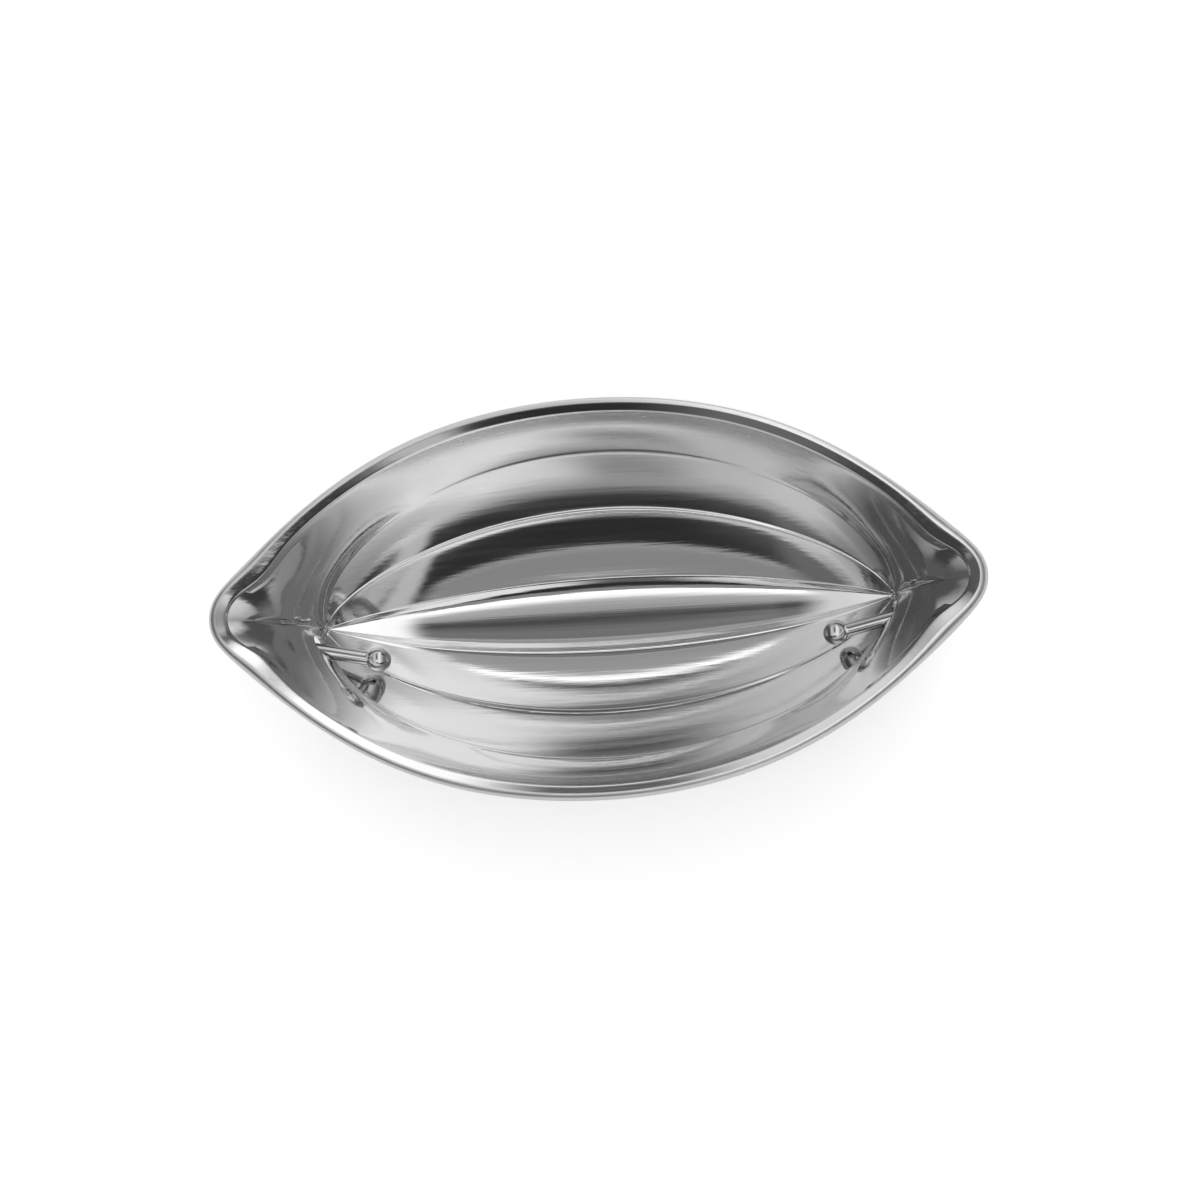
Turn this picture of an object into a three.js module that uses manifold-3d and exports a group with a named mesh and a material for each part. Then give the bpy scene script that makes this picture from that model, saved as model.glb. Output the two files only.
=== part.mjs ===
// Rice mould of pressed stainless sheet: a pointed, seven-lobed bowl with a rolled rim, carried by a
// wire bail whose ball-ended hooks pass through two holes in the end walls.
// Millimetres, +Z up, open side up. X runs from tip to tip. The origin is on the table, under the middle.
import * as THREE from 'three';
import { mergeVertices } from 'three/addons/utils/BufferGeometryUtils.js';
import Module from 'manifold-3d';

const wasm = await Module();
wasm.setup();

// Outline of the shell, measured over the rolled rim
const LENGTH = 160;
const WIDTH = 82.6;
const HEIGHT = 31;
const TIP_FULLNESS = 0.5; // roundness of the two tips: 0 gives a sharp lens
const TIP_WAIST = 3.3; // how far the sides draw in beside each tip, to a blunt spout

// Sheet and rolled rim
const SHEET = 0.8;
const BEAD = 3.2; // outer diameter of the roll along the sides
const TIP_BEAD = 3.9; // and at the tips
const PINCH = 1.5; // the roll's extra width on both sides of a tip, where the wall is drawn in
const PINCH_PLACE = 0.43; // sine of the ring angle there
const PINCH_SPREAD = 0.13;
const CURL_END = THREE.MathUtils.degToRad(-105); // where the rolled edge stops, under the bead
const BEAD_LAND = THREE.MathUtils.degToRad(10); // half-angle of the flat on top of the bead

// Lobes and the ridges between them
const RIDGE_PAIRS = 3; // six ridges part seven lobes
const SWEEP = THREE.MathUtils.degToRad(75); // half-angle of the arc that spaces the ridges
const FLARE = 0.75; // under 1 lifts the ridges off that arc, towards straight sides
const FLUTE = 0.06; // hollow of a lobe over its width
const RIDGE_SHARE = 0.07; // part of a lobe's width that rounds into each ridge
const RIDGE_ROUNDING = 0.5;
const RIB = 0.3; // height of the rib on a ridge over the ridge's width
const INNER_TAPER = 1.75; // how fast the innermost ridges close on the pole
const OUTER_TAPER = 1.12; // and the outermost ones
const RISE_TAPER = 0.8; // how fast all ridges sink to the pole
const BAND_HOLLOW = 1.2; // hollow of the wall between the outermost ridges and the rim
const TIP_FLARE = 4; // at the tips the wall bellies inward instead, and opens like a spout
const LAND_SHARE = 0.5; // part of the middle lobe's width that is flat, to stand on

// End walls: the ridges meet at a pole inside each tip
const END_WALL_RUN = 16.8; // level distance from the pole to the wall's top at the tip
const POLE_RISE = 4; // the floor at the pole, above the floor in the middle
const LEVEL_KEEL = 70; // length of the level part of the floor

// Bail: wire, hooks and ball ends
const WIRE = 3;
const BALL = 5.3;
const HOLE = 5.8; // lets a ball end through
const HOLE_GAP = 0.8; // clear space under the wire in its hole
const SEAT_GAP = 0.3; // clear space round the wire's end in its ball
const PIVOT_SIDE = 5.5; // swing axis, off the middle towards -Y
const PIVOT_ABOVE_POLE = 7.8;
const BAIL_DROP = 32; // swing axis to the middle of the grip
const HOOK_RADIUS = 2.8; // bend of the wire outside each hole
const HOOK_OUT = 4.4; // straight wire outside the pole, before that bend
const HOOK_REACH = 12; // level distance from the pole in to the middle of the ball
const HOOK_DROP = 2.6; // the ball's distance from the swing axis
const BALL_GRIP = 0.8; // the wire's end past the middle of the ball
const TABLE_GAP = 0.1; // under the resting grip

// Facets
const COLUMNS = 40; // from tip to tip
const LOBE_STEPS = [0.26, 0.5, 0.74]; // places across a lobe, between its rounded edges
const CURL_RISE_STEPS = 3;
const CURL_FALL_STEPS = 7;
const WIRE_SIDES = 10;
const WIRE_STEPS = 132;
const BALL_SIDES = 24;
const HOLE_SIDES = 24;
const WELD = 1e-4; // vertices closer than this are one

const steel = new THREE.MeshStandardMaterial({ color: 0xc9c9c7, metalness: 1, roughness: 0.16 });

// Values that follow from the sizes above
const NECK_X = LENGTH / 2 - BEAD; // inner face of the wall, where a roll of one size would start
const NECK_Y = WIDTH / 2 - BEAD;
const NECK_Z = HEIGHT - (BEAD / 2) * Math.cos(BEAD_LAND);
const POLE_X = NECK_X - END_WALL_RUN;
const POLE_Z = SHEET + POLE_RISE;
const PIVOT_Z = POLE_Z + PIVOT_ABOVE_POLE;
const RING = 2 * COLUMNS;
const LOBES = 2 * RIDGE_PAIRS + 1;
const FLOOR_LOBES = LOBES - 2; // the outer two are the walls under the rim
const LOBE_ROWS = LOBE_STEPS.length + 3; // strips of facets from ridge to ridge
const RING_TURN = (2 * Math.PI) / RING;

// The rim's plan at ring angle t: 0 is the +X tip, a quarter turn is the +Y side.
function planPoint(t) {
  const s = Math.abs(Math.sin(t));
  const lens = NECK_Y * s * Math.sqrt((s + TIP_FULLNESS) / (1 + TIP_FULLNESS));
  const y = lens - TIP_WAIST * (4 * s * (1 - s)) ** 2;
  return new THREE.Vector3(NECK_X * Math.cos(t), y * Math.sign(Math.sin(t)), 0);
}

// Level directions along the rim and out of it at ring angle t
function rimAlong(t) {
  return planPoint(t + RING_TURN / 2).sub(planPoint(t - RING_TURN / 2)).normalize();
}

function rimOutward(t) {
  const along = rimAlong(t);
  return new THREE.Vector3(along.y, -along.x, 0);
}

// The roll is thicker at and beside the tips, where it takes its width from the inside.
function beadRadius(t) {
  const s = Math.abs(Math.sin(t));
  const width = THREE.MathUtils.lerp(BEAD, TIP_BEAD, Math.cos(t) ** 16);
  const pinch = PINCH * Math.exp(-(((s - PINCH_PLACE) / PINCH_SPREAD) ** 2));
  return (width + pinch) / 2;
}

// Where the roll starts, at the top of the wall
function neckPoint(t) {
  const radius = beadRadius(t);
  const point = planPoint(t).addScaledVector(rimOutward(t), BEAD - 2 * radius);
  point.z = HEIGHT - radius * Math.cos(BEAD_LAND);
  return point;
}

// Inner face of the floor along the middle: level, then rising to the pole
function floorHeight(x) {
  const past = Math.max(0, Math.abs(x) - LEVEL_KEEL / 2) / (POLE_X - LEVEL_KEEL / 2);
  return SHEET + POLE_RISE * past ** 2;
}

// A ridge line: number 1 is the innermost of its side, RIDGE_PAIRS the outermost.
function ridgePoint(number, side, t) {
  const s = Math.abs(Math.sin(t));
  const angle = (2 * SWEEP * (number - 0.5)) / LOBES;
  const outward = (number - 1) / (RIDGE_PAIRS - 1);
  const taper = THREE.MathUtils.lerp(INNER_TAPER, OUTER_TAPER, outward);
  const lift = ((1 - Math.cos(angle)) / (1 - Math.cos(SWEEP))) ** FLARE;
  const x = POLE_X * Math.cos(t);
  const y = side * NECK_Y * (Math.sin(angle) / Math.sin(SWEEP)) * s ** taper;
  const z = floorHeight(x) + (NECK_Z - SHEET) * lift * s ** RISE_TAPER;
  return new THREE.Vector3(x, y, z);
}

// One lobe across a section, without its two ridge lines. The middle lobe has a flat land.
function lobePoints(from, to, t) {
  const middle = from.y * to.y < 0;
  const chord = to.clone().sub(from);
  const width = chord.length();
  const out = new THREE.Vector3(0, chord.z, -chord.y).normalize();
  if (out.z > 0) out.negate();
  const flat = middle ? LAND_SHARE : 0;
  const hollow = middle ? from.z - floorHeight(from.x) : FLUTE * width * Math.abs(Math.sin(t));
  return [RIDGE_SHARE, ...LOBE_STEPS, 1 - RIDGE_SHARE].map((w) => {
    const across = Math.abs(2 * w - 1);
    const depth = hollow * Math.min(1, (1 - across ** 2) / (1 - flat ** 2));
    return from.clone().addScaledVector(chord, w).addScaledVector(out, depth);
  });
}

// The wall from an outermost ridge up to the neck, bellied outward a little along the sides
function wallPoints(foot, top, t) {
  const belly = BAND_HOLLOW - (BAND_HOLLOW + TIP_FLARE) * Math.cos(t) ** 4;
  const chord = top.clone().sub(foot);
  const out = rimAlong(t).cross(chord).normalize();
  return [RIDGE_SHARE, ...LOBE_STEPS].map((w) => {
    const depth = belly * (1 - (2 * w - 1) ** 2);
    return foot.clone().addScaledVector(chord, w).addScaledVector(out, depth);
  });
}

// The crest of a ridge: a rounded corner between two lobes, with a low rib pressed up along it
function roundedRidge(ridge, before, after) {
  const middle = before.clone().add(after).multiplyScalar(0.5);
  const across = after.clone().sub(before);
  const inward = new THREE.Vector3(0, across.z, -across.y);
  return ridge.clone().lerp(middle, RIDGE_ROUNDING).addScaledVector(inward, RIB);
}

// A closed mesh that is put together ring by ring
class Skin {
  constructor() {
    this.points = [];
    this.faces = [];
  }

  add(point) {
    this.points.push(point);
    return this.points.length - 1;
  }

  quad(a, b, c, d) {
    this.triangle(a, b, c);
    this.triangle(a, c, d);
  }

  triangle(a, b, c) {
    if (a !== b && b !== c && c !== a) this.faces.push(a, b, c);
  }

  geometry() {
    const geometry = new THREE.BufferGeometry().setFromPoints(this.points);
    geometry.setIndex(this.faces);
    return geometry;
  }
}

// Inner face of the pressing: the wall rings and the lobed floor, down from the neck.
// It also returns the neck's vertices and those of the middle lobe's land.
function innerFace() {
  const skin = new Skin();
  const poles = [POLE_X, -POLE_X].map((x) => skin.add(new THREE.Vector3(x, 0, POLE_Z)));
  const rings = [];
  const sections = [];
  const land = new Set();

  const columns = Array.from({ length: COLUMNS + 1 }, (_, i) => (Math.PI * i) / COLUMNS);
  const crest = new Array(RING);
  columns.forEach((t, i) => {
    if (i === 0 || i === COLUMNS) {
      const pole = poles[i === 0 ? 0 : 1];
      sections.push(new Array(FLOOR_LOBES * LOBE_ROWS + 1).fill(pole));
      crest[i] = pole;
      return;
    }
    const numbers = Array.from({ length: RIDGE_PAIRS }, (_, k) => RIDGE_PAIRS - k);
    const ridges = [
      ...numbers.map((n) => ridgePoint(n, 1, t)),
      ...numbers.reverse().map((n) => ridgePoint(n, -1, t)),
    ];
    const lobes = ridges.slice(1).map((to, k) => lobePoints(ridges[k], to, t));
    const wallFoot = (ridge, angle) => wallPoints(ridge, neckPoint(angle), angle)[0];
    const before = [wallFoot(ridges[0], t), ...lobes.map((lobe) => lobe.at(-1))];
    const after = [...lobes.map((lobe) => lobe[0]), wallFoot(ridges.at(-1), -t)];
    const row = [];
    ridges.forEach((ridge, k) => {
      row.push(skin.add(roundedRidge(ridge, before[k], after[k])));
      if (k < lobes.length) {
        const ids = lobes[k].map((point) => skin.add(point));
        if (k === RIDGE_PAIRS - 1) ids.slice(1, -1).forEach((id) => land.add(id));
        row.push(...ids);
      }
    });
    sections.push(row);
    crest[i] = row[0];
    crest[RING - i] = row.at(-1);
  });

  for (let i = 0; i < COLUMNS; i += 1) {
    for (let j = 0; j < FLOOR_LOBES * LOBE_ROWS; j += 1) {
      skin.quad(sections[i][j], sections[i + 1][j], sections[i + 1][j + 1], sections[i][j + 1]);
    }
  }

  for (let i = 0; i < RING; i += 1) {
    const t = i * RING_TURN;
    const ring = [crest[i]];
    const side = i < COLUMNS ? 1 : -1;
    const foot = i % COLUMNS ? ridgePoint(RIDGE_PAIRS, side, t) : skin.points[crest[i]];
    const wall = wallPoints(foot, neckPoint(t), t);
    ring.push(...wall.map((point) => skin.add(point)), skin.add(neckPoint(t)));
    rings.push(ring);
  }
  rings.forEach((ring, i) => {
    const next = rings[(i + 1) % RING];
    for (let j = 0; j + 1 < ring.length; j += 1) {
      skin.quad(ring[j], ring[j + 1], next[j + 1], next[j]);
    }
  });
  return { skin, neck: rings.map((ring) => ring.at(-1)), land };
}

// Angles of the roll round the bead, from the neck over the flat land to the rolled edge
function curlAngles() {
  const spaced = (from, to, steps) =>
    Array.from({ length: steps + 1 }, (_, k) => THREE.MathUtils.lerp(from, to, k / steps));
  const rise = spaced(Math.PI, Math.PI / 2 + BEAD_LAND, CURL_RISE_STEPS);
  const fall = spaced(Math.PI / 2 - BEAD_LAND, CURL_END, CURL_FALL_STEPS);
  return [...rise, ...fall];
}

function curlPoint(t, inset, angle) {
  const radius = beadRadius(t) - inset;
  const level = beadRadius(t) + radius * Math.cos(angle);
  const point = neckPoint(t).addScaledVector(rimOutward(t), level);
  point.z += radius * Math.sin(angle);
  return point;
}

// The pressing as one closed sheet: inner face, roll over and back, outer face
function pressedSheet() {
  const { skin, neck, land } = innerFace();
  const face = skin.geometry();
  face.computeVertexNormals();
  const normals = face.getAttribute('normal');
  const count = skin.points.length;
  const neckPlace = new Map(neck.map((id, i) => [id, i]));
  const outer = skin.points.slice(0, count).map((point, id) => {
    if (neckPlace.has(id)) {
      const outward = rimOutward(neckPlace.get(id) * RING_TURN);
      return skin.add(point.clone().addScaledVector(outward, SHEET));
    }
    const inward = new THREE.Vector3(0, 0, 1);
    if (!land.has(id)) inward.fromBufferAttribute(normals, id);
    return skin.add(point.clone().addScaledVector(inward, -SHEET));
  });
  const innerFaces = skin.faces.slice();
  for (let k = 0; k < innerFaces.length; k += 3) {
    skin.triangle(outer[innerFaces[k]], outer[innerFaces[k + 2]], outer[innerFaces[k + 1]]);
  }

  const angles = curlAngles().slice(1);
  const loops = neck.map((id, i) => {
    const t = i * RING_TURN;
    const over = angles.map((angle) => skin.add(curlPoint(t, 0, angle)));
    const back = [...angles].reverse().map((angle) => skin.add(curlPoint(t, SHEET, angle)));
    return [id, ...over, ...back, outer[id]];
  });
  loops.forEach((loop, i) => {
    const next = loops[(i + 1) % RING];
    for (let j = 0; j + 1 < loop.length; j += 1) {
      skin.quad(loop[j], loop[j + 1], next[j + 1], next[j]);
    }
  });
  return skin.geometry();
}

function toSolid(geometry) {
  const mesh = new wasm.Mesh({
    numProp: 3,
    vertProperties: new Float32Array(geometry.getAttribute('position').array),
    triVerts: new Uint32Array(geometry.index.array),
  });
  return new wasm.Manifold(mesh);
}

function toGeometry(solid) {
  const mesh = solid.getMesh();
  const geometry = new THREE.BufferGeometry();
  geometry.setAttribute('position', new THREE.BufferAttribute(mesh.vertProperties, 3));
  geometry.setIndex(new THREE.BufferAttribute(mesh.triVerts, 1));
  geometry.computeVertexNormals();
  return geometry;
}

// A closed geometry with its repeated vertices joined
function welded(geometry) {
  geometry.deleteAttribute('normal');
  geometry.deleteAttribute('uv');
  return mergeVertices(geometry, WELD);
}

// The wire rests low in its hole, on the side that the bail leans to.
function holeCutter(end) {
  const start = POLE_X - END_WALL_RUN / 3;
  const length = NECK_X - start;
  const slack = ((HOLE - WIRE) / 2 - HOLE_GAP) * Math.SQRT1_2;
  const cutter = new THREE.CylinderGeometry(HOLE / 2, HOLE / 2, length, HOLE_SIDES);
  cutter.rotateZ(Math.PI / 2);
  cutter.translate(end * (start + length / 2), slack - PIVOT_SIDE, PIVOT_Z + slack);
  return toSolid(welded(cutter));
}

function mouldShell() {
  let solid = toSolid(pressedSheet());
  [1, -1].forEach((end) => {
    solid = solid.subtract(holeCutter(end));
  });
  return new THREE.Mesh(toGeometry(solid), steel);
}

// Tilt of the hooks in the plane of the bail, and of that plane when the grip lies on the table
const HOOK_TILT = Math.atan2(HOOK_DROP, HOOK_REACH);
const HOOK_LENGTH = Math.hypot(HOOK_DROP, HOOK_REACH);
const REST_TILT = Math.asin((PIVOT_Z - WIRE / 2 - TABLE_GAP) / BAIL_DROP);

// The wire's centre line in the plane of the bail: hook, bow, hook.
// Its x runs along the swing axis and its y is the distance from that axis.
function bailOutline() {
  const footX = POLE_X + HOOK_OUT * Math.cos(HOOK_TILT);
  const footY = -HOOK_OUT * Math.sin(HOOK_TILT);
  const hookX = footX + HOOK_RADIUS * Math.sin(HOOK_TILT);
  const hookY = footY + HOOK_RADIUS * Math.cos(HOOK_TILT);
  const below = BAIL_DROP - hookY;
  const bowRadius = (hookX ** 2 + below ** 2 - HOOK_RADIUS ** 2) / (2 * (below - HOOK_RADIUS));
  const bowY = BAIL_DROP - bowRadius;
  const meet = Math.atan2(hookY - bowY, hookX); // where the bow runs into the hook
  const tip = HOOK_LENGTH + BALL_GRIP;
  const tipX = POLE_X - tip * Math.cos(HOOK_TILT);
  const tipY = tip * Math.sin(HOOK_TILT);
  const foot = Math.PI / 2 + HOOK_TILT; // turn of the hook's bend at its inner end, under its centre
  const outline = new THREE.Path();
  outline.moveTo(-tipX, tipY);
  outline.lineTo(-footX, footY);
  outline.absarc(-hookX, hookY, HOOK_RADIUS, Math.PI + foot, Math.PI - meet, true);
  outline.absarc(0, bowY, bowRadius, Math.PI - meet, meet, true);
  outline.absarc(hookX, hookY, HOOK_RADIUS, meet, -foot, true);
  outline.lineTo(tipX, tipY);
  return outline;
}

// A plane outline laid in space at the bail's resting tilt
class BailLine extends THREE.Curve {
  constructor(outline) {
    super();
    this.outline = outline;
  }

  getPoint(t, target = new THREE.Vector3()) {
    const { x, y } = this.outline.getPoint(t);
    return target.set(x, -PIVOT_SIDE - y * Math.cos(REST_TILT), PIVOT_Z - y * Math.sin(REST_TILT));
  }
}

function bailWire() {
  const section = new THREE.Shape();
  section.absarc(0, 0, WIRE / 2, 0, 2 * Math.PI);
  const extrudePath = new BailLine(bailOutline());
  const sweep = { steps: WIRE_STEPS, curveSegments: WIRE_SIDES / 2, extrudePath };
  return new THREE.Mesh(welded(new THREE.ExtrudeGeometry(section, sweep)), steel);
}

// A ball with a blind socket that takes the wire's end
function ballEnd(end) {
  const ball = toSolid(welded(new THREE.SphereGeometry(BALL / 2, BALL_SIDES, BALL_SIDES / 2)));
  const depth = BALL_GRIP + SEAT_GAP;
  const socketRadius = WIRE / 2 + SEAT_GAP;
  const socket = new THREE.CylinderGeometry(socketRadius, socketRadius, BALL, BALL_SIDES);
  socket.rotateZ(Math.PI / 2);
  socket.translate(BALL / 2 - depth, 0, 0);
  const mesh = new THREE.Mesh(toGeometry(ball.subtract(toSolid(welded(socket)))), steel);
  const turn = end > 0 ? -HOOK_TILT : Math.PI + HOOK_TILT;
  mesh.rotation.z = turn;
  mesh.position.set(end * (POLE_X - HOOK_REACH), HOOK_DROP, 0);
  return mesh;
}

const shell = mouldShell();
shell.name = 'mould_shell';

const wire = bailWire();
wire.name = 'bail_wire';

// The ball ends are placed in the plane of the bail, and the group lays that plane down.
const ballEnds = new THREE.Group();
ballEnds.position.set(0, -PIVOT_SIDE, PIVOT_Z);
ballEnds.rotation.x = Math.PI + REST_TILT;
[['ball_end_right', 1], ['ball_end_left', -1]].forEach(([name, end]) => {
  const ball = ballEnd(end);
  ball.name = name;
  ballEnds.add(ball);
});

const mould = new THREE.Group();
mould.add(shell, wire, ballEnds);

export default mould;
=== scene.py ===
# Looks of a rice mould: a pressed stainless shell with a rolled rim, and its wire bail with ball ends
import math

import bmesh
import bpy
from mathutils import Matrix, Vector


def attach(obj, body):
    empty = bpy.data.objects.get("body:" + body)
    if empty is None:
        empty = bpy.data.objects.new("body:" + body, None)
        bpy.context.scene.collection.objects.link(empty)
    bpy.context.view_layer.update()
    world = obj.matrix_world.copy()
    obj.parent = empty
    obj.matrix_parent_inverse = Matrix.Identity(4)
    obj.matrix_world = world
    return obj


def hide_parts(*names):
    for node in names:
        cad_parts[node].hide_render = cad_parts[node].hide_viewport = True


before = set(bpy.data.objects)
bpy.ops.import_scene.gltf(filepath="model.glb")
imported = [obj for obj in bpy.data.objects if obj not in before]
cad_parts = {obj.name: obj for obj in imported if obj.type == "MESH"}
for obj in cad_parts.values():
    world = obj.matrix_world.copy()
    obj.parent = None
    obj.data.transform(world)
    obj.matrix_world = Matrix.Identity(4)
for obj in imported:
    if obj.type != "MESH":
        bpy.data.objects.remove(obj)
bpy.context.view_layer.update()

MM = 0.001

# Sizes of the pressed shell, in millimetres, with its angles, powers and shares
LENGTH = 160
WIDTH = 82.6
HEIGHT = 31
TIP_FULLNESS = 0.5
TIP_WAIST = 3.3
SHEET = 0.8
BEAD = 3.2
TIP_BEAD = 3.9
TIP_BEAD_POWER = 16
PINCH = 1.5
PINCH_PLACE = 0.43
PINCH_SPREAD = 0.13
BEAD_LAND = math.radians(10)
CURL_END = math.radians(-105)
RIDGE_PAIRS = 3
LOBES = 2 * RIDGE_PAIRS + 1
SWEEP = math.radians(75)
FLARE = 0.75
FLUTE = 0.048
RIDGE_SHARE = 0.05
MIDDLE_SHARE = 0.13
INNER_TAPER = 1.75
OUTER_TAPER = 1.12
RISE_TAPER = 0.8
BAND_HOLLOW = 1.2
TIP_FLARE = 4
TIP_FLARE_POWER = 4
LAND_SHARE = 0.5
LAND_BLEND = 0.9
END_WALL_RUN = 16.8
POLE_RISE = 4
LEVEL_KEEL = 70

# The lip inside the roll: the share of its fall that is an even slope, and the power of its last turn
LIP_SLOPE = 0.72
LIP_CORNER = 14

# The rib on each ridge from +Y to -Y: its height and its crest's place, as shares of the ridge's width
RIBS = ((0.06, 0.5), (0.2, 0.5), (0.1, 0.22), (0.1, 0.78), (0.2, 0.5), (0.06, 0.5))

# Sizes of the bail, in millimetres
WIRE = 3
BALL = 5.3
HOLE = 5.8
HOLE_GAP = 0.8
PIVOT_SIDE = 5.5
PIVOT_ABOVE_POLE = 7.8
BAIL_DROP = 32
HOOK_RADIUS = 2.8
HOOK_OUT = 4.4
HOOK_REACH = 12
HOOK_DROP = 2.6
BALL_GRIP = 0.8
TABLE_GAP = 0.1

# The weld collar: its radius on the ball, then its radius and place along the wire from the ball's centre
COLLAR = 1.7
COLLAR_PROFILE = ((1.58, 2.08), (1.52, 2.4), (1.49, 2.8))

# Places that follow from the sizes
NECK_X = LENGTH / 2 - BEAD
NECK_Y = WIDTH / 2 - BEAD
NECK_Z = HEIGHT - BEAD / 2 * math.cos(BEAD_LAND)
POLE_X = NECK_X - END_WALL_RUN
POLE_Z = SHEET + POLE_RISE
PIVOT_Z = POLE_Z + PIVOT_ABOVE_POLE
CUTTER_START = POLE_X - END_WALL_RUN / 3
HOOK_TILT = math.atan2(HOOK_DROP, HOOK_REACH)
HOOK_LENGTH = math.hypot(HOOK_DROP, HOOK_REACH)
REST_TILT = math.asin((PIVOT_Z - WIRE / 2 - TABLE_GAP) / BAIL_DROP)

# Mesh steps
COLUMNS = 200
FALL_STEPS = 16
LIP_STEPS = 12
WALL_STEPS = 12
LOBE_STEPS = 12
RIDGE_STEPS = 14
WIRE_SIDES = 28
HOOK_STEPS = 24
BOW_STEPS = 180
BALL_STEPS = 22
BALL_SIDES = 40
HOLE_SIDES = 64

# Vertices nearer than this are merged, in metres
MERGE = 1e-6

# Edges that turn by more than this are drawn sharp, in degrees
SHEET_SHARP = 40
WIRE_SHARP = 50
BALL_SHARP = 60

# How much rougher than the polish the brushed roll and the satin +Y wall are
BRUSHED = 0.22
SATIN = 0.16

# How far from the middle the satin sets in and is full, in millimetres
SATIN_FROM = 18
SATIN_FULL = 30


# Evenly spaced values, with both ends
def steps(start, end, count):
    return [start + (end - start) * k / count for k in range(count + 1)]


# The lesser of two values, with the corner between them rounded off
def smooth_min(value, limit, blend):
    overlap = max(blend - abs(value - limit), 0) / blend
    return min(value, limit) - overlap * overlap * blend / 4


# The rim's plan at a ring angle: 0 is the +X tip, a quarter turn is the +Y side
def plan_point(ring):
    s = abs(math.sin(ring))
    lens = NECK_Y * s * math.sqrt((s + TIP_FULLNESS) / (1 + TIP_FULLNESS))
    y = lens - TIP_WAIST * (4 * s * (1 - s)) ** 2
    return Vector((NECK_X * math.cos(ring), math.copysign(y, math.sin(ring)), 0))


# The way the rim runs, and its outward side
def rim_along(ring):
    step = math.pi / COLUMNS
    return (plan_point(ring + step) - plan_point(ring - step)).normalized()


def rim_outward(ring):
    along = rim_along(ring)
    return Vector((along.y, -along.x, 0))


# The roll is thicker at and beside the tips, where it takes its width from the inside.
def bead_radius(ring):
    s = abs(math.sin(ring))
    width = BEAD + (TIP_BEAD - BEAD) * math.cos(ring) ** TIP_BEAD_POWER
    pinch = PINCH * math.exp(-((s - PINCH_PLACE) / PINCH_SPREAD) ** 2)
    return (width + pinch) / 2


# Where the wall meets the roll
def neck_point(ring):
    radius = bead_radius(ring)
    point = plan_point(ring) + rim_outward(ring) * (BEAD - 2 * radius)
    point.z = HEIGHT - radius * math.cos(BEAD_LAND)
    return point


# A place round the roll: angle 0 is its outermost, a quarter turn its top
def roll_point(ring, angle):
    radius = bead_radius(ring)
    point = neck_point(ring) + rim_outward(ring) * radius * (1 + math.cos(angle))
    point.z = min(point.z + radius * math.sin(angle), HEIGHT)
    return point


# The lip inside the roll: an even slope from the crest that turns down into the wall at its foot
def lip_point(ring, k):
    crest = roll_point(ring, math.pi / 2 - BEAD_LAND)
    neck = neck_point(ring)
    fall = LIP_SLOPE * k + (1 - LIP_SLOPE) * k ** LIP_CORNER
    point = crest.lerp(neck, k)
    point.z = crest.z + (neck.z - crest.z) * fall
    return point


# The floor is level in the middle and rises to the poles.
def floor_height(x):
    past = max(0, abs(x) - LEVEL_KEEL / 2) / (POLE_X - LEVEL_KEEL / 2)
    return SHEET + POLE_RISE * past ** 2


# A ridge line: number 1 is the innermost of its side
def ridge_point(number, side, turn):
    s = abs(math.sin(turn))
    angle = 2 * SWEEP * (number - 0.5) / LOBES
    outward = (number - 1) / (RIDGE_PAIRS - 1)
    taper = INNER_TAPER + (OUTER_TAPER - INNER_TAPER) * outward
    lift = ((1 - math.cos(angle)) / (1 - math.cos(SWEEP))) ** FLARE
    x = POLE_X * math.cos(turn)
    y = side * NECK_Y * math.sin(angle) / math.sin(SWEEP) * s ** taper
    z = floor_height(x) + (NECK_Z - SHEET) * lift * s ** RISE_TAPER
    return Vector((x, y, z))


# A place across the lobe between two ridges; the middle lobe levels off at the floor.
def lobe_point(start, end, turn, w):
    middle = start.y * end.y < 0
    chord = end - start
    out = Vector((0, chord.z, -chord.y)).normalized()
    if out.z > 0:
        out.negate()
    bulge = 1 - (2 * w - 1) ** 2
    if middle:
        hollow = start.z - floor_height(start.x)
        depth = hollow * smooth_min(bulge / (1 - LAND_SHARE ** 2), 1, LAND_BLEND)
    else:
        depth = FLUTE * chord.length * abs(math.sin(turn)) * bulge
    return start + chord * w + out * depth


# The wall bellies outward along the sides, and inward at the tips, where it opens like a spout.
def wall_point(foot, ring, w):
    belly = BAND_HOLLOW - (BAND_HOLLOW + TIP_FLARE) * math.cos(ring) ** TIP_FLARE_POWER
    chord = neck_point(ring) - foot
    out = rim_along(ring).cross(chord).normalized()
    return foot + chord * w + out * belly * (1 - (2 * w - 1) ** 2)


# A rounded ridge between two lobes, with a low rib pressed up along its crest
def rounded_ridge(before, ridge, after, rib, crest):
    across = after - before
    inward = Vector((0, across.z, -across.y)) * rib
    skew = math.log(0.5) / math.log(crest)
    points = []
    for k in steps(0, 1, RIDGE_STEPS)[1:-1]:
        arc = before * (1 - k) ** 2 + ridge * 2 * k * (1 - k) + after * k * k
        points.append(arc + inward * math.sin(math.pi * k ** skew) ** 2)
    return points


# The roll and the wall under it, from the rolled edge down to an outermost ridge
def side_of_section(foot, ring):
    fall = steps(CURL_END, math.pi / 2 - BEAD_LAND, FALL_STEPS)
    roll = [roll_point(ring, angle) for angle in fall]
    lip = [lip_point(ring, 1 - k * k) for k in steps(1, 0, LIP_STEPS)[1:]]
    wall = [wall_point(foot, ring, w) for w in steps(1, RIDGE_SHARE, WALL_STEPS)[1:]]
    return roll + lip + wall


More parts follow.
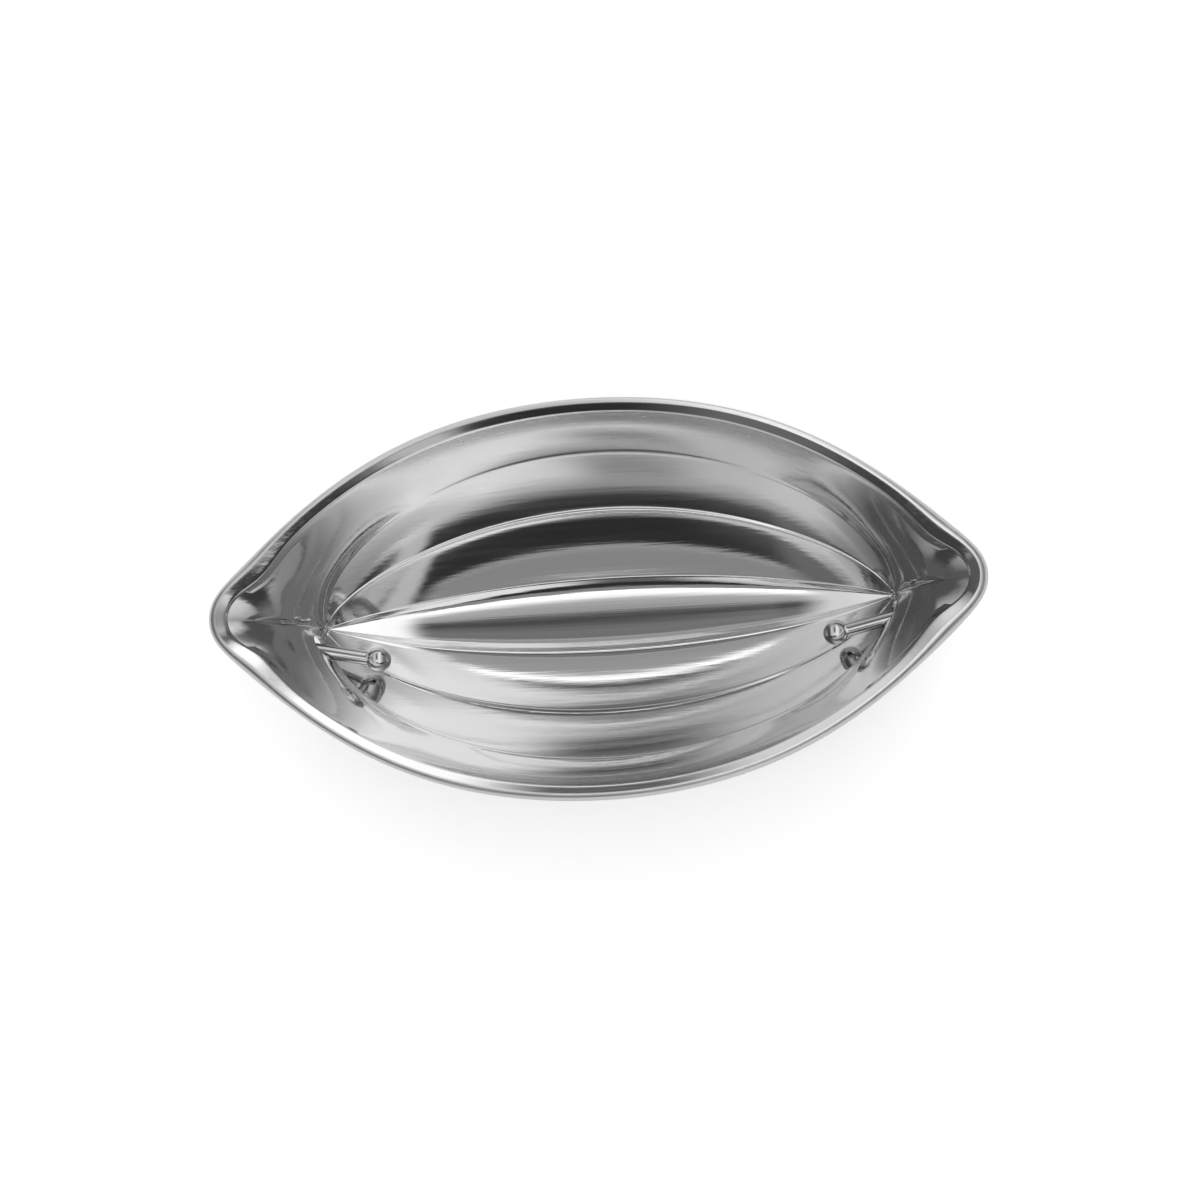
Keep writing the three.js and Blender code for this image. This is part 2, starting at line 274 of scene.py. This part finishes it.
# The inner face across one place of the mould, from the +Y roll to the -Y roll
def section(turn):
    far = [ridge_point(n, 1, turn) for n in range(RIDGE_PAIRS, 0, -1)]
    near = [ridge_point(n, -1, turn) for n in range(1, RIDGE_PAIRS + 1)]
    ridges = far + near
    parts = [side_of_section(ridges[0], turn)]
    for start, end in zip(ridges, ridges[1:]):
        share = MIDDLE_SHARE if start.y * end.y < 0 else RIDGE_SHARE
        places = steps(share, 1 - share, LOBE_STEPS)
        parts.append([lobe_point(start, end, turn, w) for w in places])
    parts.append(side_of_section(ridges[-1], -turn)[::-1])
    points = parts[0]
    for ridge, (rib, crest), before, after in zip(ridges, RIBS, parts, parts[1:]):
        points = points + rounded_ridge(before[-1], ridge, after[0], rib, crest) + after
    return points


# Makes an object of a finished bmesh
def new_object(name, bm):
    mesh = bpy.data.meshes.new(name)
    bm.to_mesh(mesh)
    bm.free()
    piece = bpy.data.objects.new(name, mesh)
    bpy.context.scene.collection.objects.link(piece)
    return piece


def smooth_shade(piece, sharp_degrees):
    piece.data.shade_smooth()
    piece.data.set_sharp_from_angle(angle=math.radians(sharp_degrees))


# A plain cylinder along X where the wire goes through an end wall
def hole_cutter(end):
    length = NECK_X - CUTTER_START
    slack = ((HOLE - WIRE) / 2 - HOLE_GAP) * math.sqrt(0.5)
    place = Vector((end * (CUTTER_START + length / 2), slack - PIVOT_SIDE, PIVOT_Z + slack)) * MM
    bm = bmesh.new()
    bmesh.ops.create_cone(
        bm, cap_ends=True, segments=HOLE_SIDES, radius1=HOLE / 2 * MM, radius2=HOLE / 2 * MM,
        depth=length * MM, matrix=Matrix.Translation(place) @ Matrix.Rotation(math.pi / 2, 4, "Y"),
    )
    return new_object("hole_cutter", bm)


# The sheet is a grid laid on the sections, closed where its two sides meet at the tips.
def pressed_shell():
    sections = [section(math.pi * k / COLUMNS) for k in range(COLUMNS + 1)]
    rows = len(sections[0]) - 1
    bm = bmesh.new()
    dulled = bm.verts.layers.float.new("dulled")
    grid = bmesh.ops.create_grid(bm, x_segments=COLUMNS, y_segments=rows, size=0.5)
    # The grid starts as a unit square about the origin, so a vertex's place tells its column and row.
    for vert in grid["verts"]:
        column = round((vert.co.x + 0.5) * COLUMNS)
        row = round((vert.co.y + 0.5) * rows)
        vert.co = sections[column][row] * MM
        edge = min(row, rows - row)
        if edge <= FALL_STEPS:
            vert[dulled] = BRUSHED
        elif edge >= FALL_STEPS + LIP_STEPS:
            up_wall = (sections[column][row].y - SATIN_FROM) / (SATIN_FULL - SATIN_FROM)
            vert[dulled] = SATIN * min(max(up_wall, 0), 1)
    bmesh.ops.remove_doubles(bm, verts=bm.verts, dist=MERGE)
    bmesh.ops.recalc_face_normals(bm, faces=bm.faces)
    shell = new_object("shell", bm)

    thickness = shell.modifiers.new("sheet", "SOLIDIFY")
    thickness.thickness = SHEET * MM
    thickness.offset = -1
    cutters = [hole_cutter(1), hole_cutter(-1)]
    for cutter in cutters:
        cut = shell.modifiers.new("hole", "BOOLEAN")
        cut.operation = "DIFFERENCE"
        cut.solver = "EXACT"
        cut.object = cutter
    graph = bpy.context.evaluated_depsgraph_get()
    finished = bpy.data.meshes.new_from_object(shell.evaluated_get(graph))
    shell.modifiers.clear()
    shell.data = finished
    for cutter in cutters:
        bpy.data.objects.remove(cutter)
    smooth_shade(shell, SHEET_SHARP)
    return shell


# Lays the plane of the bail (x along the swing axis, y away from it) in its resting place
def bail_plane():
    lay = Matrix.Rotation(math.pi + REST_TILT, 4, "X")
    return Matrix.Translation(Vector((0, -PIVOT_SIDE, PIVOT_Z)) * MM) @ lay


def loop_of(result):
    return [item for item in result if isinstance(item, bmesh.types.BMEdge)]


# Draws a loop of edges straight out
def stretch(bm, loop, offset):
    made = bmesh.ops.extrude_edge_only(bm, edges=loop)["geom"]
    verts = [item for item in made if isinstance(item, bmesh.types.BMVert)]
    bmesh.ops.translate(bm, verts=verts, vec=offset * MM)
    ends = set(verts)
    return [edge for edge in loop_of(made) if set(edge.verts) <= ends]


# Draws a loop of edges round an arc in the plane of the bail
def bend(bm, loop, centre, angle, count):
    made = bmesh.ops.spin(bm, geom=loop, cent=centre * MM, axis=(0, 0, 1), angle=angle, steps=count)
    return loop_of(made["geom_last"])


# One wire: hook, bow, hook, swept through its bends
def bail_wire():
    foot = Vector((POLE_X + HOOK_OUT * math.cos(HOOK_TILT), -HOOK_OUT * math.sin(HOOK_TILT), 0))
    hook = foot + Vector((math.sin(HOOK_TILT), math.cos(HOOK_TILT), 0)) * HOOK_RADIUS
    below = BAIL_DROP - hook.y
    bow_radius = (hook.x ** 2 + below ** 2 - HOOK_RADIUS ** 2) / (2 * (below - HOOK_RADIUS))
    bow_y = BAIL_DROP - bow_radius
    meet = math.atan2(hook.y - bow_y, hook.x)
    tip_length = HOOK_LENGTH + BALL_GRIP
    inward = Vector((-math.cos(HOOK_TILT), math.sin(HOOK_TILT), 0))
    tip = Vector((POLE_X, 0, 0)) + inward * tip_length
    straight = HOOK_OUT + tip_length
    hook_turn = meet + math.pi / 2 + HOOK_TILT

    bm = bmesh.new()
    turn = Matrix.Rotation(math.pi / 2, 4, "Y")
    lean = Matrix.Rotation(-HOOK_TILT, 4, "Z")
    bmesh.ops.create_circle(
        bm, cap_ends=False, segments=WIRE_SIDES, radius=WIRE / 2 * MM,
        matrix=Matrix.Translation(tip * MM) @ lean @ turn,
    )
    bmesh.ops.holes_fill(bm, edges=bm.edges[:])
    loop = bm.edges[:]
    loop = stretch(bm, loop, -inward * straight)
    loop = bend(bm, loop, hook, hook_turn, HOOK_STEPS)
    loop = bend(bm, loop, Vector((0, bow_y, 0)), math.pi - 2 * meet, BOW_STEPS)
    loop = bend(bm, loop, Vector((-hook.x, hook.y, 0)), hook_turn, HOOK_STEPS)
    inward.x = -inward.x
    loop = stretch(bm, loop, inward * straight)
    bmesh.ops.holes_fill(bm, edges=loop)
    bmesh.ops.remove_doubles(bm, verts=bm.verts, dist=MERGE)
    bmesh.ops.recalc_face_normals(bm, faces=bm.faces)
    bmesh.ops.transform(bm, matrix=bail_plane(), verts=bm.verts)
    wire = new_object("wire", bm)
    smooth_shade(wire, WIRE_SHARP)
    return wire


# A turned ball that runs into the wire through a short weld collar
def ball_end(name, end):
    radius = BALL / 2
    neck = math.asin(COLLAR / radius)
    bm = bmesh.new()
    pole = bm.verts.new(Vector((-radius, 0, 0)) * MM)
    arc = bmesh.ops.spin(
        bm, geom=[pole], cent=(0, 0, 0), axis=(0, 0, -1), angle=math.pi - neck, steps=BALL_STEPS,
    )
    rim = [item for item in arc["geom_last"] if isinstance(item, bmesh.types.BMVert)]
    for radial, along in COLLAR_PROFILE:
        made = bmesh.ops.extrude_vert_indiv(bm, verts=rim)
        rim = made["verts"]
        rim[0].co = Vector((along, radial, 0)) * MM
    bmesh.ops.spin(
        bm, geom=bm.edges[:], cent=(0, 0, 0), axis=(1, 0, 0), angle=2 * math.pi, steps=BALL_SIDES,
        use_merge=True,
    )
    bmesh.ops.remove_doubles(bm, verts=bm.verts, dist=MERGE)
    bmesh.ops.recalc_face_normals(bm, faces=bm.faces)
    turn = -HOOK_TILT if end > 0 else math.pi + HOOK_TILT
    place = Vector((end * (POLE_X - HOOK_REACH), HOOK_DROP, 0)) * MM
    lay = bail_plane() @ Matrix.Translation(place) @ Matrix.Rotation(turn, 4, "Z")
    bmesh.ops.transform(bm, matrix=lay, verts=bm.verts)
    ball = new_object(name, bm)
    smooth_shade(ball, BALL_SHARP)
    return ball


# Colours of the steel and of the paper under it; the wire's steel is darker than the sheet's as painted
# shade, standing in for the dark things that its balls mirror
STEEL = "DFDFDF"
SHADED_WIRE_STEEL = "C2C2C2"
PAPER = "F2F2F2"

# Roughness where a pattern is at its smoothest and at its dullest, and the part of the noise that is used
SHEET_ROUGHNESS = (0.05, 0.12)
WIRE_ROUGHNESS = (0.03, 0.08)
NOISE_SPAN = (0.3, 0.7)

# Sizes of the surface patterns, in millimetres, drawn coarser than real so that they show
STREAK_LENGTH = 55
STREAK_WIDTH = 1.1
PRESS_WAVE = 22
DIE_LINE_LENGTH = 25
DIE_LINE_WIDTH = 0.65
WAVE_HEIGHT = 0.4
STREAK_HEIGHT = 0.03

# How strongly the waves and the streaks bend the surface
WAVE_STRENGTH = 0.1
STREAK_STRENGTH = 0.6

# Finer layers of the noise, and the share that each keeps of the one before
STREAK_LAYERS = 4.0
STREAK_LAYER_SHARE = 0.6
DIE_LINE_LAYERS = 3.0


# An sRGB hex colour as linear values
def colour(text):
    parts = [int(text[k:k + 2], 16) / 255 for k in (0, 2, 4)]
    linear = [c / 12.92 if c <= 0.04045 else ((c + 0.055) / 1.055) ** 2.4 for c in parts]
    return (*linear, 1)


# A noise scale that makes its cells this many millimetres wide
def cells(size):
    return 1 / (size * MM)


# Adds a node with its settings, and links or sets its inputs
def add(tree, kind, inputs=None, **settings):
    node = tree.nodes.new(kind)
    for name, value in settings.items():
        setattr(node, name, value)
    for name, value in (inputs or {}).items():
        if isinstance(value, bpy.types.NodeSocket):
            tree.links.new(value, node.inputs[name])
        else:
            node.inputs[name].default_value = value
    return node


def new_material(name):
    material = bpy.data.materials.new(name)
    material.use_nodes = True
    material.node_tree.nodes.clear()
    return material, material.node_tree


# Bright stainless sheet, pressed and polished lengthwise: streaks and slow waves break what it mirrors
def polished_sheet():
    material, tree = new_material("polished_stainless_sheet")
    place = add(tree, "ShaderNodeTexCoord").outputs["Object"]
    streak = (cells(STREAK_LENGTH), cells(STREAK_WIDTH), cells(STREAK_WIDTH))
    along = add(tree, "ShaderNodeMapping", {"Vector": place, "Scale": streak})
    streaks = add(
        tree, "ShaderNodeTexNoise",
        {
            "Vector": along.outputs["Vector"], "Scale": 1.0,
            "Detail": STREAK_LAYERS, "Roughness": STREAK_LAYER_SHARE,
        },
    )
    gloss = add(
        tree, "ShaderNodeMapRange",
        {
            "Value": streaks.outputs["Fac"], "From Min": NOISE_SPAN[0], "From Max": NOISE_SPAN[1],
            "To Min": SHEET_ROUGHNESS[0], "To Max": SHEET_ROUGHNESS[1],
        },
    )
    # The brushed roll and the satin wall blur what they mirror to a soft pale sheen.
    dulled = add(tree, "ShaderNodeAttribute", attribute_name="dulled").outputs["Fac"]
    roughness = add(
        tree, "ShaderNodeMath", {0: gloss.outputs["Result"], 1: dulled}, operation="ADD",
    )
    waves = add(
        tree, "ShaderNodeTexNoise", {"Vector": place, "Scale": cells(PRESS_WAVE), "Detail": 0.0},
    )
    press = add(
        tree, "ShaderNodeBump",
        {"Strength": WAVE_STRENGTH, "Distance": WAVE_HEIGHT * MM, "Height": waves.outputs["Fac"]},
    )
    grain = add(
        tree, "ShaderNodeBump",
        {
            "Strength": STREAK_STRENGTH, "Distance": STREAK_HEIGHT * MM,
            "Height": streaks.outputs["Fac"], "Normal": press.outputs["Normal"],
        },
    )
    steel = add(
        tree, "ShaderNodeBsdfPrincipled",
        {
            "Base Color": colour(STEEL), "Metallic": 1.0,
            "Roughness": roughness.outputs["Value"], "Normal": grain.outputs["Normal"],
        },
    )
    add(tree, "ShaderNodeOutputMaterial", {"Surface": steel.outputs["BSDF"]})
    return material


# Drawn stainless wire: smooth, with faint die lines along it, and its colour darkened below the sheet's as
# painted shade
def drawn_wire():
    material, tree = new_material("drawn_stainless_wire")
    place = add(tree, "ShaderNodeTexCoord").outputs["Object"]
    line = (cells(DIE_LINE_LENGTH), cells(DIE_LINE_WIDTH), cells(DIE_LINE_WIDTH))
    along = add(tree, "ShaderNodeMapping", {"Vector": place, "Scale": line})
    lines = add(
        tree, "ShaderNodeTexNoise",
        {"Vector": along.outputs["Vector"], "Scale": 1.0, "Detail": DIE_LINE_LAYERS},
    )
    gloss = add(
        tree, "ShaderNodeMapRange",
        {
            "Value": lines.outputs["Fac"], "From Min": NOISE_SPAN[0], "From Max": NOISE_SPAN[1],
            "To Min": WIRE_ROUGHNESS[0], "To Max": WIRE_ROUGHNESS[1],
        },
    )
    # Painted shade: the wire and its balls take a darker steel colour than the sheet
    steel = add(
        tree, "ShaderNodeBsdfPrincipled",
        {"Base Color": colour(SHADED_WIRE_STEEL), "Metallic": 1.0, "Roughness": gloss.outputs["Result"]},
    )
    add(tree, "ShaderNodeOutputMaterial", {"Surface": steel.outputs["BSDF"]})
    return material


# How far the floor reaches each way in metres, and how far it lies under the mould in millimetres
FLOOR_REACH = 3
FLOOR_DROP = 0.2

# How much the floor glows for the camera, and in mirrors, where more would clip the steel to white
FLOOR_LIFT = 0.5
MIRROR_LIFT = 0.15


# Matt white paper: evenly pale, and lifted to plain white for the camera
def white_floor():
    material, tree = new_material("white_paper")
    paper = add(tree, "ShaderNodeBsdfDiffuse", {"Color": colour(PAPER)})
    path = add(tree, "ShaderNodeLightPath").outputs
    mirrored = add(
        tree, "ShaderNodeMath", {0: path["Is Glossy Ray"], 1: path["Is Transmission Ray"]},
        operation="MAXIMUM",
    )
    in_mirrors = add(
        tree, "ShaderNodeMath", {0: mirrored.outputs["Value"], 1: MIRROR_LIFT}, operation="MULTIPLY",
    )
    lift = add(
        tree, "ShaderNodeMath",
        {0: path["Is Camera Ray"], 1: FLOOR_LIFT, 2: in_mirrors.outputs["Value"]},
        operation="MULTIPLY_ADD",
    )
    glow = add(tree, "ShaderNodeEmission", {"Strength": lift.outputs["Value"]})
    both = add(tree, "ShaderNodeAddShader", {0: paper.outputs["BSDF"], 1: glow.outputs["Emission"]})
    add(tree, "ShaderNodeOutputMaterial", {"Surface": both.outputs["Shader"]})
    bm = bmesh.new()
    bmesh.ops.create_grid(
        bm, x_segments=1, y_segments=1, size=FLOOR_REACH,
        matrix=Matrix.Translation((0, 0, -FLOOR_DROP * MM)),
    )
    floor = new_object("floor", bm)
    floor.data.materials.append(material)
    return floor


# Light round the length of the mould: degrees from the +Y horizon, over the top, to the -Y horizon
STUDIO_BANDS = (
    # White paper, and a grey wall with a strip light
    (0, 1.2), (9, 1.15), (13, 0.4), (20, 0.3), (23, 0.12), (28, 0.1), (29.5, 1.6), (31.5, 1.6),
    # A grey ceiling that darkens to the camera's place
    (34, 0.42), (44, 0.36), (52, 0.45), (56, 0.2), (68, 0.22), (76, 0.15), (79, 0.08), (83, 0.09),
    # A wide soft light overhead, and the ceiling again
    (87, 0.42), (97, 0.55), (100, 0.95), (106, 1.4), (116, 1.8), (118, 0.3), (132, 0.3), (135, 0.45),
    # A black flag, a grey wall and the paper on the other side
    (137, 0.03), (154, 0.03), (157, 0.22), (160, 0.42), (164, 0.5), (172, 0.52), (175, 1.15), (180, 1.2),
)

# Light past the tips, on the +Y side and overhead: degrees from the -X horizon, over the top, to +X
PAPER_BANDS = (
    (0, 0.12), (36, 0.12), (46, 0.45), (52, 0.9), (60, 0.95), (66, 0.85), (76, 0.85), (82, 0.6), (87, 0.75),
    (92, 1.3), (112, 1.4), (118, 1.0), (126, 0.75), (134, 0.5), (142, 0.3), (150, 0.24), (180, 0.22),
)

# The same for the ceiling past the tips on the -Y side
CEILING_BANDS = (
    (0, 0.12), (30, 0.14), (36, 0.3), (50, 0.38), (60, 0.45), (72, 0.45), (90, 0.5), (96, 0.7), (104, 0.8),
    (116, 0.85), (126, 0.5), (134, 0.28), (146, 0.22), (180, 0.22),
)

# The same for the flag, a dark strip on the -Y side that goes on round both tips and has one gap
FLAG_BANDS = (
    (0, 0.12), (30, 0.12), (38, 0.06), (54, 0.06), (60, 0.16), (78, 0.18), (85, 0.08), (90, 0.04), (94, 0.04),
    (97, 0.6), (103, 0.6), (106, 0.2), (110, 0.05), (132, 0.05), (145, 0.2), (180, 0.2),
)

# The same low on the +Y side, where a dark card stands at each end
CARD_BANDS = (
    (0, 0.1), (44, 0.1), (52, 0.5), (58, 0.9), (66, 0.85), (76, 0.85), (82, 0.6), (87, 0.75), (92, 1.3),
    (112, 1.4), (116, 0.7), (119, 0.2), (124, 0.1), (136, 0.1), (144, 0.22), (180, 0.22),
)

# The level that is a ramp's full white
BRIGHTEST = 2.5

# Where the flag and the card stand, in degrees from the +Y horizon
FLAG_PLACE = ((0, 0), (127, 0), (131, BRIGHTEST), (153, BRIGHTEST), (158, 0), (180, 0))
CARD_PLACE = ((0, BRIGHTEST), (40, BRIGHTEST), (52, 0), (180, 0))

# How far a direction leans to +Y where the ceiling past the tips begins to give way, and where it ends
CEILING_TO_PAPER = (-0.75, -0.45)

# How far a direction leans to the -X or the +X tip where that end begins to show, and shows in full
FAR_LEFT = (0.16, 0.36)
FAR_RIGHT = (-0.08, 0.1)


# A grey ramp over a half turn, from levels of light and their degrees
def band_ramp(tree, turn, bands):
    share = add(tree, "ShaderNodeMath", {0: turn, 1: math.pi}, operation="DIVIDE")
    ramp = add(tree, "ShaderNodeValToRGB", {"Fac": share.outputs["Value"]})
    stops = ramp.color_ramp.elements
    stops[0].position = 0
    stops[1].position = 1
    for degrees, _ in bands[1:-1]:
        stops.new(math.radians(degrees) / math.pi)
    for stop, (_, level) in zip(stops, bands):
        stop.color = (*[level / BRIGHTEST] * 3, 1)
    return ramp.outputs["Color"]


# White for the camera alone; the steel mirrors the studio's bands of light.
def studio_world():
    world = bpy.data.worlds.new("studio")
    world.use_nodes = True
    tree = world.node_tree
    tree.nodes.clear()
    direction = add(tree, "ShaderNodeTexCoord").outputs["Generated"]
    axes = add(tree, "ShaderNodeSeparateXYZ", {"Vector": direction}).outputs
    across = add(tree, "ShaderNodeMath", {0: axes["Z"], 1: axes["Y"]}, operation="ARCTAN2")
    facing = add(tree, "ShaderNodeMath", {0: axes["X"], 1: -1.0}, operation="MULTIPLY")
    along = add(tree, "ShaderNodeMath", {0: facing.outputs["Value"]}, operation="ARCCOSINE")
    left = add(
        tree, "ShaderNodeMapRange",
        {"Value": facing.outputs["Value"], "From Min": FAR_LEFT[0], "From Max": FAR_LEFT[1]},
        interpolation_type="SMOOTHSTEP",
    )
    right = add(
        tree, "ShaderNodeMapRange",
        {"Value": axes["X"], "From Min": FAR_RIGHT[0], "From Max": FAR_RIGHT[1]},
        interpolation_type="SMOOTHSTEP",
    )
    ends = add(
        tree, "ShaderNodeMath", {0: left.outputs["Result"], 1: right.outputs["Result"]},
        operation="MAXIMUM",
    )
    side = add(
        tree, "ShaderNodeMapRange",
        {"Value": axes["Y"], "From Min": CEILING_TO_PAPER[0], "From Max": CEILING_TO_PAPER[1]},
        interpolation_type="SMOOTHSTEP",
    )
    unflagged = add(
        tree, "ShaderNodeMixRGB",
        {
            "Fac": side.outputs["Result"],
            "Color1": band_ramp(tree, along.outputs["Value"], CEILING_BANDS),
            "Color2": band_ramp(tree, along.outputs["Value"], PAPER_BANDS),
        },
    )
    carded = add(
        tree, "ShaderNodeMixRGB",
        {
            "Fac": band_ramp(tree, across.outputs["Value"], CARD_PLACE),
            "Color1": unflagged.outputs["Color"],
            "Color2": band_ramp(tree, along.outputs["Value"], CARD_BANDS),
        },
    )
    past_tips = add(
        tree, "ShaderNodeMixRGB",
        {
            "Fac": band_ramp(tree, across.outputs["Value"], FLAG_PLACE),
            "Color1": carded.outputs["Color"],
            "Color2": band_ramp(tree, along.outputs["Value"], FLAG_BANDS),
        },
    )
    blended = add(
        tree, "ShaderNodeMixRGB",
        {
            "Fac": ends.outputs["Value"],
            "Color1": band_ramp(tree, across.outputs["Value"], STUDIO_BANDS),
            "Color2": past_tips.outputs["Color"],
        },
    )
    surround = add(
        tree, "ShaderNodeBackground", {"Color": blended.outputs["Color"], "Strength": BRIGHTEST},
    )
    backdrop = add(tree, "ShaderNodeBackground", {"Color": (1, 1, 1, 1), "Strength": 1.0})
    seen = add(
        tree, "ShaderNodeMixShader",
        {
            0: add(tree, "ShaderNodeLightPath").outputs["Is Camera Ray"],
            1: surround.outputs["Background"], 2: backdrop.outputs["Background"],
        },
    )
    add(tree, "ShaderNodeOutputWorld", {"Surface": seen.outputs["Shader"]})
    bpy.context.scene.world = world


def studio():
    white_floor()
    studio_world()


# The camera of the photograph, in radians and millimetres: nearly straight down, leaning to -Y and +X
PHOTO_ELEVATION = math.radians(79.993)
PHOTO_AZIMUTH = math.radians(40.957)
PHOTO_ROLL = math.radians(-44.0)
PHOTO_DISTANCE = 700
SENSOR = 36

# The photograph in pixels: its scale to a millimetre at the rim, its size and the rim's centre
PHOTO_SCALE = 4.9134
PHOTO_SIZE = 1200
RIM_CENTRE = (593.46, 597.74)


def photo_camera():
    level = math.cos(PHOTO_ELEVATION)
    back = Vector((
        math.sin(PHOTO_AZIMUTH) * level, -math.cos(PHOTO_AZIMUTH) * level, math.sin(PHOTO_ELEVATION),
    ))
    plain_right = Vector((math.cos(PHOTO_AZIMUTH), math.sin(PHOTO_AZIMUTH), 0))
    plain_up = back.cross(plain_right)
    right = plain_right * math.cos(PHOTO_ROLL) + plain_up * math.sin(PHOTO_ROLL)
    up = plain_up * math.cos(PHOTO_ROLL) - plain_right * math.sin(PHOTO_ROLL)
    aside = (PHOTO_SIZE / 2 - RIM_CENTRE[0]) / PHOTO_SCALE
    above = (RIM_CENTRE[1] - PHOTO_SIZE / 2) / PHOTO_SCALE
    target = Vector((0, 0, NECK_Z)) + right * aside + up * above
    lens = bpy.data.cameras.new("photo_camera")
    lens.sensor_width = SENSOR
    lens.lens = PHOTO_SCALE * PHOTO_DISTANCE / PHOTO_SIZE * lens.sensor_width
    camera = bpy.data.objects.new("photo_camera", lens)
    turn = Matrix((right, up, back)).transposed().to_4x4()
    camera.matrix_world = Matrix.Translation((target + back * PHOTO_DISTANCE) * MM) @ turn
    bpy.context.scene.collection.objects.link(camera)
    bpy.context.scene.camera = camera


# Gives a piece its finish, its body and the solid that it stands for
def dress(piece, body, node, material):
    piece.data.materials.clear()
    piece.data.materials.append(material)
    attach(piece, body)
    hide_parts(node)


photo_camera()
studio()
sheet_steel = polished_sheet()
shaded_wire_steel = drawn_wire()
dress(pressed_shell(), "mould", "mould_shell", sheet_steel)
dress(bail_wire(), "bail", "bail_wire", shaded_wire_steel)
dress(ball_end("ball_right", 1), "bail", "ball_end_right", shaded_wire_steel)
dress(ball_end("ball_left", -1), "bail", "ball_end_left", shaded_wire_steel)

bpy.context.scene.view_settings.view_transform = "Standard"
